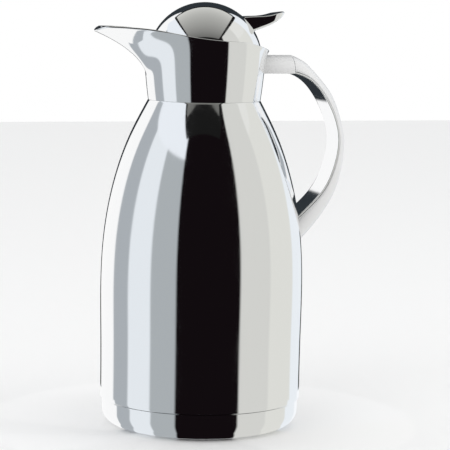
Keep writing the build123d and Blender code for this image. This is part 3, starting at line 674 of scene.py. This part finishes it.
def build_world():
    """Light tent: upright bands by azimuth for what the steel reflects, white for everything else."""
    world = bpy.data.worlds.new("studio")
    bpy.context.scene.world = world
    world.use_nodes = True
    tree = world.node_tree
    tree.nodes.clear()
    link = tree.links.new
    kit = Nodes(tree)
    direction = kit.turned(tree.nodes.new("ShaderNodeTexCoord").outputs["Generated"])
    sideways = kit.maths("ARCTAN2", direction["X"], direction["Y"])
    elevation = kit.maths("ARCSINE", direction["Z"])
    from_waist = kit.maths("ABSOLUTE", kit.maths("SUBTRACT", elevation, BACKDROP_WAIST))
    flared = kit.maths("MULTIPLY_ADD", from_waist, BACKDROP_FLARE, BACKDROP_HALF_WIDTH)
    half_width = kit.maths("MINIMUM", flared, BACKDROP_WIDEST)
    inside = kit.between(kit.maths("SUBTRACT", half_width, kit.maths("ABSOLUTE", sideways)), 0.0, pi)
    dark = kit.maths("MULTIPLY", inside, kit.between(elevation, BACKDROP_FOOT, BACKDROP_TOP))
    sky = tree.nodes.new("ShaderNodeMixRGB")
    link(kit.between(elevation, ABOVE, pi), sky.inputs["Fac"])
    link(kit.banded(direction, BANDS), sky.inputs["Color1"])
    link(kit.banded(direction, BANDS_ABOVE), sky.inputs["Color2"])
    shade = tree.nodes.new("ShaderNodeMixRGB")
    link(dark, shade.inputs["Fac"])
    link(sky.outputs["Color"], shade.inputs["Color1"])
    shade.inputs["Color2"].default_value = (*BACKDROP_COLOUR, 1)
    background = tree.nodes.new("ShaderNodeBackground")
    link(shade.outputs["Color"], background.inputs["Color"])
    plain = tree.nodes.new("ShaderNodeBackground")
    plain.inputs["Color"].default_value = (1, 1, 1, 1)
    ray = tree.nodes.new("ShaderNodeLightPath").outputs
    mix = tree.nodes.new("ShaderNodeMixShader")
    link(kit.maths("MAXIMUM", ray["Is Camera Ray"], ray["Is Diffuse Ray"]), mix.inputs["Fac"])
    link(background.outputs["Background"], mix.inputs[1])
    link(plain.outputs["Background"], mix.inputs[2])
    out = tree.nodes.new("ShaderNodeOutputWorld")
    link(mix.outputs["Shader"], out.inputs["Surface"])


def build_stage():
    """Plain pale floor. The steel doesn't mirror it, so the tent's bands run down to the base."""
    size = 3000.0
    corners = [(-size, -size, 0), (size, -size, 0), (size, size, 0), (-size, size, 0)]
    floor = new_object("floor", corners, [(0, 1, 2, 3)])
    m = material("pale_floor", (0.92, 0.92, 0.92), 0.8)
    grain = add_node(m, "ShaderNodeTexNoise", Scale=120.0, Detail=3.0)
    wire(m, stretched_coordinates(m, (1, 1, 1)), grain.inputs["Vector"])
    shader = m.node_tree.nodes["Principled BSDF"]
    wire(m, ramp(m, grain.outputs["Fac"], 0.7, 0.9), shader.inputs["Roughness"])
    floor.data.materials.append(m)
    floor.visible_glossy = False


def dark_glow(_):
    """The dark frame round the upper card."""
    return (0.01, 0.01, 0.01, 1)


def fading_glow(kit):
    """Warm grey that fades towards the camera."""
    near, far = -0.205, 0.130
    stops = ((0.0, 0.15), (0.65, 0.46), (1.0, 0.66))
    split = kit.tree.nodes.new("ShaderNodeSeparateXYZ")
    place = kit.tree.nodes.new("ShaderNodeTexCoord").outputs["Object"]
    kit.tree.links.new(place, split.inputs["Vector"])
    share = kit.maths("DIVIDE", kit.maths("SUBTRACT", split.outputs["Y"], near), far - near)
    fade = kit.tree.nodes.new("ShaderNodeValToRGB")
    kit.tree.links.new(share, fade.inputs["Fac"])
    fade.color_ramp.elements.new(stops[1][0])
    for element, (at, level) in zip(fade.color_ramp.elements, stops):
        element.position = at
        element.color = (level, level, level * 0.95, 1)
    return fade.outputs["Color"]


def banded_glow(kit):
    """The bands, narrowed towards the jug's foot so that its rounded edge goes on with those above."""
    place = kit.turned(kit.tree.nodes.new("ShaderNodeTexCoord").outputs["Object"])
    squares = [kit.maths("POWER", place[axis], 2.0) for axis in ("X", "Y")]
    reach = kit.maths("SQRT", kit.maths("ADD", *squares))
    nearness = kit.maths("MINIMUM", kit.maths("DIVIDE", BASE_R * MM, reach), 1.0)
    return kit.banded(place, BANDS, kit.maths("DIVIDE", 2.0, kit.maths("SUBTRACT", 2.0, nearness)))


def emitting(name, colour_of):
    """A material that only glows."""
    m = bpy.data.materials.new(name)
    m.use_nodes = True
    tree = m.node_tree
    tree.nodes.clear()
    glow = tree.nodes.new("ShaderNodeEmission")
    colour = colour_of(Nodes(tree))
    if isinstance(colour, tuple):
        glow.inputs["Color"].default_value = colour
    else:
        tree.links.new(colour, glow.inputs["Color"])
    out = tree.nodes.new("ShaderNodeOutputMaterial")
    tree.links.new(glow.outputs["Emission"], out.inputs["Surface"])
    return m


def only_reflected(card, glow):
    card.data.materials.append(glow)
    card.visible_camera = card.visible_diffuse = card.visible_shadow = False
    card.visible_transmission = card.visible_volume_scatter = False


def build_cards():
    """Cards only reflections see: a grey one in a dark frame over the dome, a banded one round the base."""
    turn = Matrix.Rotation(VIEW_AZIMUTH, 4, "Z")
    for name, (x0, x1, y0, y1), z, colour in (
            ("card_frame", (-157, 148, -290, 156), 452.0, dark_glow),
            ("card_grey", (-142, 128, -205, 130), 450.0, fading_glow)):
        card = new_object(name, [(x0, y0, z), (x1, y0, z), (x1, y1, z), (x0, y1, z)], [(0, 1, 2, 3)])
        card.matrix_world = turn
        only_reflected(card, emitting(name, colour))
    ring = np.radians(np.arange(0, 360, 5))
    inner_r, outer_r, card_z = 57.0, 150.0, 0.3
    inner, outer = ([(r * cos(a), r * sin(a), card_z) for a in ring] for r in (inner_r, outer_r))
    card = new_object("card_base", inner + outer, grid_faces(2, len(ring), False, True))
    only_reflected(card, emitting("card_base", banded_glow))


def build_camera():
    """Long lens at the height of the jug's lid, a little towards the spout."""
    distance, height, lens, roll_angle = 1.36, 0.298, 160.0, radians(1.0)
    aside, aim_height = 0.0156, 0.137
    aim = Vector((aside * cos(VIEW_AZIMUTH), aside * sin(VIEW_AZIMUTH), aim_height))
    place = Vector((sin(VIEW_AZIMUTH) * distance, -cos(VIEW_AZIMUTH) * distance, height))
    data = bpy.data.cameras.new("camera")
    data.sensor_width = 36.0
    data.lens = lens
    camera = bpy.data.objects.new("camera", data)
    bpy.context.scene.collection.objects.link(camera)
    camera.location = place
    roll = Matrix.Rotation(roll_angle, 3, "Z")
    camera.rotation_mode = "QUATERNION"
    facing = (aim - place).to_track_quat("-Z", "Y").to_matrix() @ roll
    camera.rotation_quaternion = facing.to_quaternion()
    bpy.context.scene.camera = camera


def build_lights():
    """Two soft area lights for the floor and the plastics."""
    size, target = 1.2, Vector((0, 0, 0.12))
    for name, place, power in (("soft_left", (-1.4, -1.2, 1.6), 6.0),
                               ("soft_right", (1.5, -0.9, 1.5), 4.0)):
        data = bpy.data.lights.new(name, "AREA")
        data.energy, data.size = power, size
        light = bpy.data.objects.new(name, data)
        light.location = place
        light.rotation_mode = "QUATERNION"
        light.rotation_quaternion = (target - Vector(place)).to_track_quat("-Z", "Y")
        light.visible_glossy = False
        bpy.context.scene.collection.objects.link(light)


# ---- put it together --------------------------------------------------------------------
finishes = {
    "polished_steel": polished_steel(),
    "satin_steel": satin_steel(),
    "screw_steel": turned_steel(),
    "black_plastic": moulded("black_plastic", (0.022, 0.022, 0.024), 0.42),
    "grey_plastic": moulded("grey_plastic", (0.20, 0.20, 0.21), 0.48),
    "silvered_glass": silvered_glass(),
    "ceramic_pad": moulded("ceramic_pad", (0.72, 0.69, 0.62), 0.85, 300.0, 0.0002),
    "foam_rubber": moulded("foam_rubber", (0.10, 0.10, 0.10), 0.8, 500.0, 0.00015),
    "seal_rubber": moulded("seal_rubber", (0.70, 0.70, 0.67), 0.38),
    "foot_rubber": moulded("foot_rubber", (0.035, 0.035, 0.036), 0.7, 400.0, 0.0001),
}

for part in frame["record"]["subparts"]:
    node = frame["nodes"][part["node"]]
    node.data.materials.clear()
    node.data.materials.append(finishes[part["material_slot"]])


def dress(piece, body, slot, *nodes):
    """Give a made piece its body, its finish and the nodes it stands for."""
    piece.data.materials.clear()
    piece.data.materials.append(finishes[slot])
    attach(piece, body)
    if nodes:
        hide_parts(*nodes)


dress(shell_piece(), "jug", "polished_steel", "outer_shell")
dress(base_piece(), "base", "polished_steel", "base_cap")
dress(collar_piece(), "jug", "polished_steel", "spout_collar")
dress(dome_piece(), "closure", "polished_steel", "dome_cover")
dress(lever_piece(), "lever", "polished_steel", "thumb_lever")
dress(lever_arm_piece(), "lever", "polished_steel")
dress(sweep_handle("grip", grip_section), "jug", "satin_steel", "handle_grip")
dress(sweep_handle("grip_strip", strip_section), "jug", "polished_steel", "handle_inner_strip")
dress(bracket_piece(), "jug", "satin_steel", "handle_bracket")

build_world()
build_stage()
build_cards()
build_lights()
build_camera()

bpy.context.scene.view_settings.view_transform = "Standard"
